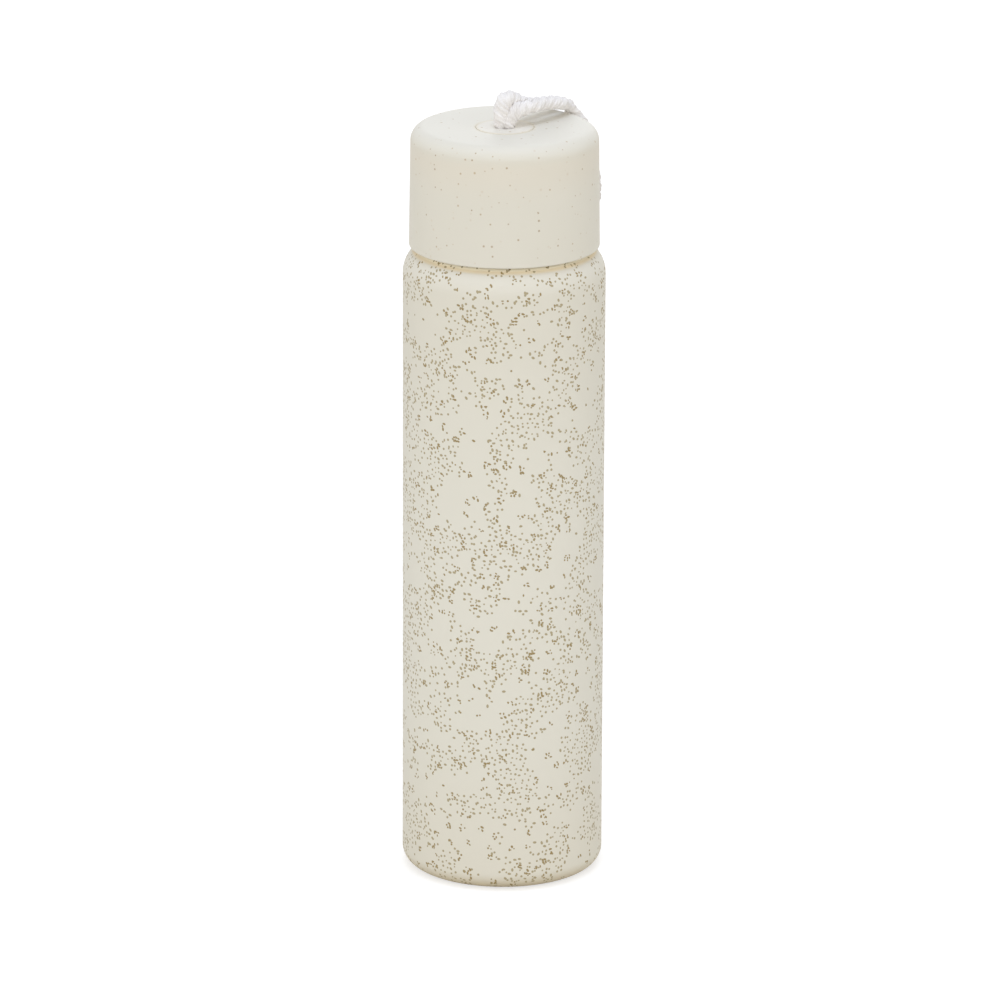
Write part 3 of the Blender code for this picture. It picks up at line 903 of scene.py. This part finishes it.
def cap_material(name, creams):
    """Matte cream plastic with sparse specks at its surface and faint ones just under it."""
    material, tree, shader = open_material(name, Roughness=0.55, Specular_IOR_Level=0.3)
    place, grain = place_and_grain(tree, grain_size=0.0003, drift_size=0.02)
    near = use_group(
        tree,
        MOULDED_SPECKS,
        Vector=place,
        Spacing=0.0026,
        Radius=0.00044,
        Blur_Share=0.55,
        Keep_Share=0.7,
    )
    deep = use_group(
        tree,
        MOULDED_SPECKS,
        Vector=vector_calc(tree, "ADD", place, DEEP_SPECK_SHIFT),
        Spacing=0.0031,
        Radius=0.00060,
        Blur_Share=0.9,
        Keep_Share=0.8,
    )
    cream = mixed(tree, grain["Drift"], *creams)
    # Painted warm shade just below the top edge, and a faint painted tan shade line in the seam
    # round the disc.
    height = part_of(tree, place, "Z")
    rising = ramp(tree, height, RIM_SHADE_START, RIM_SHADE_FULL)
    rim_shade = product(tree, rising, ramp(tree, height, RIM_SHADE_END, RIM_SHADE_FULL))
    rim_shaded = mixed(tree, rim_shade, cream, CAP_RIM_SHADE)
    from_axis = length_of(tree, vector_calc(tree, "MULTIPLY", place, (1.0, 1.0, 0.0)))
    off_seam = calc(tree, "ABSOLUTE", calc(tree, "SUBTRACT", from_axis, SEAM_RADIUS))
    at_top = calc(tree, "GREATER_THAN", height, CAP_TOP - CAP_DISH - CAP_ROOF / 2)
    # The line at the seam is painted shade.
    seam = product(tree, ramp(tree, off_seam, SEAM_SHADE_WIDTH, 0.0), at_top, SEAM_SHADE_COVER)
    seam_shaded = mixed(tree, seam, rim_shaded, SEAM_SHADE)
    veiled = mixed(tree, product(tree, deep["Mask"], DEEP_COVER), seam_shaded, DEEP_SPECK)
    speck = mixed(tree, near["Tone"], *NEAR_SPECK)
    specked = mixed(tree, product(tree, near["Mask"], NEAR_COVER), veiled, speck)
    feed(tree, shader.inputs["Base Color"], specked)
    add_roughness(tree, shader, grain, smoothest=0.50, roughest=0.60)
    add_bump(tree, shader, grain["Height"], distance=0.00002, strength=0.2)
    return material


def plain_plastic_material(name, tones, roughness):
    """Moulded plastic or rubber of one colour, with a fine grain and a slow drift of tone."""
    material, tree, shader = open_material(name, Roughness=roughness)
    _, grain = place_and_grain(tree, grain_size=0.0004, drift_size=0.015)
    feed(tree, shader.inputs["Base Color"], mixed(tree, grain["Drift"], *tones))
    low, high = (roughness * (1 + change) for change in (-ROUGHNESS_DRIFT, ROUGHNESS_DRIFT))
    add_roughness(tree, shader, grain, low, high)
    add_bump(tree, shader, grain["Height"], distance=0.00003, strength=0.3)
    return material


def glass_material():
    material, tree, shader = open_material(
        "clear_glass", Roughness=0.02, IOR=1.5, Transmission_Weight=1.0
    )
    _, grain = place_and_grain(tree, grain_size=0.006, drift_size=0.05)
    feed(tree, shader.inputs["Base Color"], mixed(tree, grain["Drift"], *GLASS_TINT))
    add_bump(tree, shader, grain["Height"], distance=0.00003, strength=0.15)
    return material


def cotton_material():
    """Soft matte cotton with short fuzzy fibres."""
    material, tree, shader = open_material(
        "rope_cotton", Roughness=0.95, Sheen_Weight=0.3, Sheen_Roughness=0.6
    )
    place, grain = place_and_grain(tree, grain_size=0.00022, drift_size=0.004)
    fibres = noise(tree, place, FIBRES_PER_METRE, Detail=2.0, Distortion=1.5)
    shade = product(tree, calc(tree, "ADD", fibres, grain["Drift"]), 0.5)
    tint = mixed(tree, ramp(tree, shade, *COTTON_TONES), *COTTON)
    feed(tree, shader.inputs["Base Color"], tint)
    height = calc(tree, "ADD", fibres, product(tree, grain["Height"], COTTON_RELIEF))
    add_bump(tree, shader, height, distance=0.00012, strength=0.6)
    return material


# Pieces.


def shoulder(radius, body_radius, neck_radius, fillet):
    """The round from the body in towards the neck, and the fillet that turns it up the neck."""
    centre = (body_radius - radius, SHOULDER_START)
    across = neck_radius + fillet - centre[0]
    up = math.sqrt((radius + fillet) ** 2 - across**2)
    turn = math.degrees(math.atan2(up, across))
    fillet_centre = (neck_radius + fillet, SHOULDER_START + up)
    return arc(centre, radius, 0, turn) + arc(fillet_centre, fillet, turn + 180, 180)[1:]


def push_up(radius, low, rise, start_radius=0.0):
    """The shallow dome under the base, from the axis or a start radius out to its edge."""
    points = []
    for i in range(PUSH_UP_STEPS + 1):
        at = start_radius + (radius - start_radius) * i / PUSH_UP_STEPS
        points.append((at, low + rise * (1 - (at / radius) ** 2)))
    return points


def skin(depth, start_radius):
    """The coated part of the bottle's outline at this depth, and its shoulder's radius."""
    base = push_up(PUSH_UP_RADIUS, depth, PUSH_UP_DEPTH, start_radius)
    corner = arc((BODY_RADIUS - BASE_FILLET, BASE_FILLET), BASE_FILLET - depth, -90, 0)
    foot, top = (BODY_RADIUS - depth, BASE_FILLET), (BODY_RADIUS - depth, SHOULDER_START)
    line = base + straight(base[-1], corner[0]) + corner + straight(foot, top)
    return line, SHOULDER_RADIUS - depth


def coat_line(depth):
    """One side of the coat, from its start under the base to its end on the shoulder."""
    line, radius = skin(depth, COAT_START_RADIUS)
    centre = (BODY_RADIUS - SHOULDER_RADIUS, SHOULDER_START)
    return line + arc(centre, radius, 0, math.degrees(COAT_END))


def bottle_coat(material):
    outline = coat_line(0) + coat_line(COAT_THICKNESS)[::-1]
    piece = turned_piece("coated_body", outline, material)
    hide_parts("glass_bottle")
    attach(piece, "bottle")


def bottle_glass(material, ridges):
    depth = COAT_THICKNESS + COAT_GAP
    outer, radius = skin(depth, 0.0)
    outer += shoulder(radius, BODY_RADIUS - depth, NECK_RADIUS, NECK_ROOT_FILLET)
    rim_low = RIM_TOP - RIM_FILLET
    rim = arc((NECK_RADIUS - RIM_FILLET, rim_low), RIM_FILLET, 0, 90)
    outer += straight(outer[-1], rim[0]) + rim

    inner_radius = BODY_RADIUS - BODY_WALL
    mouth_radius = NECK_RADIUS - NECK_WALL
    floor_radius = inner_radius - BASE_INNER_FILLET
    floor = push_up(floor_radius, BASE_THICKNESS, PUSH_UP_DEPTH)
    corner_centre = (floor_radius, BASE_THICKNESS + BASE_INNER_FILLET)
    corner = arc(corner_centre, BASE_INNER_FILLET, -90, 0)
    top = shoulder(SHOULDER_RADIUS - BODY_WALL, inner_radius, mouth_radius, MOUTH_ROOT_FILLET)
    lip = arc((mouth_radius + RIM_FILLET, rim_low), RIM_FILLET, 180, 90)
    inner = floor + corner + straight(corner[-1], top[0]) + top + straight(top[-1], lip[0]) + lip

    wall = turned_piece("glass_wall", outer + inner[::-1], material, closed=False)
    ridge = thread_ridge("neck_ridge", ridges, NECK_RADIUS, 1, THREAD_START, material)
    piece = add_object("clear_glass_bottle", joined(wall, ridge, "clear_glass_bottle"))
    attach(piece, "bottle")


def thread_ridge(name, ridges, wall_radius, side, start, material):
    """The screw thread's ridge, outwards on a wall with side 1 and inwards with side -1."""
    source = add_object(name, bpy.data.meshes.new(name))
    values = {
        "Turns": THREAD_TURNS,
        "Lead": THREAD_LEAD,
        "Root Radius": wall_radius - side * THREAD_BITE,
        "Side": float(side),
        "Height": THREAD_HEIGHT + THREAD_BITE,
        "Root Width": THREAD_ROOT_WIDTH,
        "Crest Width": THREAD_CREST_WIDTH,
        "Round": THREAD_ROUND,
        "Start": start,
        "Surface": material,
    }
    run_tree(source, ridges, values)
    mesh = plain_mesh(source, name)
    bm = bmesh.new()
    bm.from_mesh(mesh)
    bmesh.ops.remove_doubles(bm, verts=bm.verts, dist=MERGE_DISTANCE)
    bmesh.ops.recalc_face_normals(bm, faces=bm.faces)
    bm.to_mesh(mesh)
    bm.free()
    return add_object(name, mesh)


def joined(wall, ridge, name):
    """A wall and the ridge that stands on it, as one closed mesh."""
    union = wall.modifiers.new("thread", "BOOLEAN")
    union.operation = "UNION"
    union.solver = "EXACT"
    union.object = ridge
    mesh = plain_mesh(wall, name)
    bpy.data.objects.remove(ridge, do_unlink=True)
    return shaded(mesh)


def cap_outer(material):
    bore = LINER_RADIUS + SEAT_GAP
    chamber = bore - CAP_LEDGE
    ledge = LINER_TOP + SEAT_GAP
    ceiling = CAP_TOP - CAP_ROOF
    top_radius = CAP_EDGE_RADIUS - CAP_DRAFT
    hole_top = CAP_TOP - CAP_DISH - CAP_HOLE_ROUND
    hole = arc((CAP_HOLE_RADIUS + CAP_HOLE_ROUND, hole_top), CAP_HOLE_ROUND, 180, 90)
    rim = arc((top_radius - CAP_FILLET, CAP_TOP - CAP_FILLET), CAP_FILLET, 90, 0)
    lip_centre = (CAP_EDGE_RADIUS - CAP_LIP_FILLET, CAP_EDGE + CAP_LIP_FILLET)
    lip = arc(lip_centre, CAP_LIP_FILLET, 0, -90)
    corner = arc((chamber - CHAMBER_FILLET, ceiling - CHAMBER_FILLET), CHAMBER_FILLET, 0, 90)
    outline = hole + straight(hole[-1], rim[0]) + rim + straight(rim[-1], lip[0]) + lip
    outline += [(bore, CAP_EDGE), (bore, ledge), (chamber, ledge)]
    outline += corner + [(CAP_HOLE_RADIUS, ceiling)]
    piece = turned_piece("cap_outer", outline, material)
    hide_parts("cap_shell")
    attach(piece, "cap")


def cap_inner(material, ridges):
    outer = LINER_RADIUS - LINER_ROUND
    low = LINER_BOTTOM + LINER_ROUND
    plate = LINER_TOP - LINER_PLATE
    outline = [(0, LINER_TOP)]
    outline += arc((outer, LINER_TOP - LINER_ROUND), LINER_ROUND, 90, 0)
    outline += arc((outer, low), LINER_ROUND, 0, -90)
    outline += arc((LINER_BORE + LINER_ROUND, low), LINER_ROUND, 270, 180)
    outline += [(LINER_BORE, plate), (0, plate)]
    cup = turned_piece("liner_cup", outline, material, closed=False)
    # The cap's ridge lies just under the neck's, flank on flank, as it does when screwed tight.
    lean = (THREAD_ROOT_WIDTH - THREAD_CREST_WIDTH) / 2 / (THREAD_HEIGHT + THREAD_BITE)
    clearance = LINER_BORE - THREAD_HEIGHT - NECK_RADIUS
    below = (THREAD_ROOT_WIDTH + THREAD_CREST_WIDTH) / 2 - lean * (clearance + THREAD_BITE)
    start = THREAD_START - below - THREAD_FLANK_GAP
    ridge = thread_ridge("liner_ridge", ridges, LINER_BORE, -1, start, material)
    piece = add_object("cap_inner_cup", joined(cup, ridge, "cap_inner_cup"))
    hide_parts("cap_liner")
    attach(piece, "cap")


def seal(material):
    outer = seal_high.x - SEAL_EDGE
    inner = seal_high.x - SEAL_WIDTH + SEAL_EDGE
    low = seal_low.z + SEAL_EDGE
    high = seal_high.z - SEAL_EDGE
    outline = []
    corners = ((outer, low), (outer, high), (inner, high), (inner, low))
    for centre, start_deg in zip(corners, (-90, 0, 90, 180)):
        outline += arc(centre, SEAL_EDGE, start_deg, start_deg + 90)
    piece = turned_piece("silicone_seal", outline, material, sides=SMALL_SIDES)
    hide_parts("seal_ring")
    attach(piece, "seal")


def rope_disc(material):
    edge_height = BUTTON_FACE - BUTTON_EDGE
    hole = arc((BUTTON_HOLE + BUTTON_EDGE, edge_height), BUTTON_EDGE, 180, 90)
    edge = arc((BUTTON_RADIUS - BUTTON_EDGE, edge_height), BUTTON_EDGE, 90, 0)
    outline = hole + straight(hole[-1], edge[0], BUTTON_EASE) + edge
    flange_top = FLANGE_BOTTOM + BUTTON_FLANGE
    outline += [(BUTTON_RADIUS, flange_top), (FLANGE_RADIUS, flange_top)]
    outline += [(FLANGE_RADIUS, FLANGE_BOTTOM), (BUTTON_HOLE, FLANGE_BOTTOM)]
    piece = turned_piece("rope_disc", outline, material, sides=SMALL_SIDES)
    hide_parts("rope_button")
    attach(piece, "cap")


def laid_rope(name, line, girths, ropes, material):
    """A rope of plies and yarns along a line of points, with its girth at each."""
    curve = bpy.data.curves.new(name, "CURVE")
    curve.dimensions = "3D"
    spline = curve.splines.new("POLY")
    spline.points.add(len(line) - 1)
    for target, point, girth in zip(spline.points, line, girths):
        target.co = (*point, 1)
        target.radius = girth
    source = add_object(name, curve)
    run_tree(source, ropes, {**ROPE_MAKE, "Surface": material})
    return add_object(name, plain_mesh(source, name))


def fade(distance, near, far):
    """1 up to the near distance, and down to 0 at the far one."""
    return 1 - min(max((distance - near) / (far - near), 0), 1)


def dressed(line):
    """The line as the rope's weight draws it, and the rope's girth at each of its points.

    Over the hole the strands are drawn together and bunch, and at the cap's rim the rope is
    pressed flatter.
    """
    places, girths = [], []
    for x, y, z in line:
        near = fade(math.hypot(x, y), BUTTON_HOLE, GATHER_OUTER)
        high = 1 - fade(z - BUTTON_TOP, 0, GATHER_OUTER)
        drawn = Vector((x * (1 - GATHER_SHARE * near), y, z - GATHER_DROP * near * high))
        bunch = fade((drawn - Vector(BUNCH_CENTRE)).length, BUNCH_INNER, BUNCH_OUTER)
        press = fade((drawn - Vector(PRESS_CENTRE)).length, PRESS_INNER, PRESS_OUTER)
        # The press sets in and ends softly.
        press *= press * (3 - 2 * press)
        places.append(drawn + Vector(PRESS_MOVE) * press)
        girths.append(1 + BUNCH * bunch - PRESS * press)
    return places, girths


def knot_line():
    """The rope's two ends wound round each other under the button, as one run."""
    top = knot_high.z - ROPE_DIAMETER / 2
    low = knot_low.z + ROPE_DIAMETER / 2
    line = []
    for i in range(KNOT_SAMPLES + 1):
        share = i / KNOT_SAMPLES
        angle = math.tau * KNOT_TURNS * share
        height = (top + low) / 2 + (top - low) / 2 * math.cos(math.tau * share * KNOT_WAVES)
        radius = KNOT_WRAP_RADIUS * (1 + KNOT_SWELL * math.cos(KNOT_WAVES * angle))
        line.append(Vector((radius * math.cos(angle), radius * math.sin(angle), height)))
    return line


def ropes(material):
    tree = rope_tree()
    turns = knot_line()
    knot = laid_rope("knot_strands", turns, [1] * len(turns), tree, material)
    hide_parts("rope_knot")
    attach(knot, "loop")
    line = smooth_line(ROPE_ROUTE)
    rope = laid_rope("cotton_rope", *dressed(line), tree, material)
    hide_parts("rope_loop")
    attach(rope, "loop")


# Studio.


def photo_camera():
    data = bpy.data.cameras.new("photo_camera")
    data.sensor_width = SENSOR_MM
    data.lens = FOCAL_PX * SENSOR_MM / IMAGE_SIDE_PX
    data.clip_start, data.clip_end = CAMERA_CLIP
    level = math.cos(CAMERA_PITCH)
    across, along = math.sin(CAMERA_YAW), math.cos(CAMERA_YAW)
    ahead = Vector((across * level, along * level, -math.sin(CAMERA_PITCH)))
    right = Vector((along, -across, 0))
    up = right.cross(ahead)
    rolled_right = right * math.cos(CAMERA_ROLL) + up * math.sin(CAMERA_ROLL)
    rolled_up = up * math.cos(CAMERA_ROLL) - right * math.sin(CAMERA_ROLL)
    camera = add_object("photo_camera", data)
    turn = Matrix((rolled_right, rolled_up, -ahead)).transposed().to_4x4()
    camera.matrix_world = Matrix.Translation(CAMERA_PLACE) @ turn
    bpy.context.scene.camera = camera


def seen_or_mirrored(tree):
    """1 for what the camera, a mirror or clear glass shows directly, and 0 for light."""
    path = add_node(tree, "ShaderNodeLightPath")
    shown = calc(tree, "MAXIMUM", path["Is Camera Ray"], path["Is Glossy Ray"])
    return calc(tree, "MAXIMUM", shown, path["Is Transmission Ray"])


def white_world():
    """White behind the bottle, and a soft even light from all round."""
    world = bpy.data.worlds.new("studio")
    bpy.context.scene.world = world
    world.use_nodes = True
    tree = world.node_tree
    colour = mixed(tree, seen_or_mirrored(tree), WORLD_LIGHT, WHITE)
    feed(tree, tree.nodes["Background"].inputs["Color"], colour)


def white_floor():
    """A pale floor that shows white, and still takes the bottle's shadow."""
    bm = bmesh.new()
    bmesh.ops.create_grid(bm, x_segments=1, y_segments=1, size=FLOOR_REACH)
    mesh = bpy.data.meshes.new("floor")
    bm.to_mesh(mesh)
    bm.free()
    material, tree, shader = open_material("floor_white", Roughness=0.9, Emission_Color=WHITE)
    shown = seen_or_mirrored(tree)
    feed(tree, shader.inputs["Base Color"], mixed(tree, shown, FLOOR_LIGHT, FLOOR_SHOWN))
    feed(tree, shader.inputs["Emission Strength"], product(tree, shown, FLOOR_GLOW))
    floor = add_object("floor", mesh, material)


def studio_lights():
    for name, place, size, power, colour in LAMPS:
        data = bpy.data.lights.new(name, "AREA")
        data.shape = "DISK"
        data.size = size
        data.energy = power
        data.color = colour
        light = add_object(name, data)
        light.location = place
        aim = Vector(LAMP_AIM) - Vector(place)
        light.rotation_euler = aim.to_track_quat("-Z", "Y").to_euler()


def main():
    bpy.context.scene.view_settings.view_transform = "Standard"
    photo_camera()
    ropes(cotton_material())
    glass = glass_material()
    ridges = ridge_tree()
    bottle_coat(coat_material())
    bottle_glass(glass, ridges)
    cap_outer(cap_material("cap_cream", SIDE_CREAM))
    rope_disc(cap_material("disc_cream", DISC_CREAM))
    cap_inner(plain_plastic_material("liner_white", LINER_WHITE, roughness=0.4), ridges)
    seal(plain_plastic_material("silicone_white", SILICONE_WHITE, roughness=0.55))
    white_world()
    white_floor()
    studio_lights()


main()
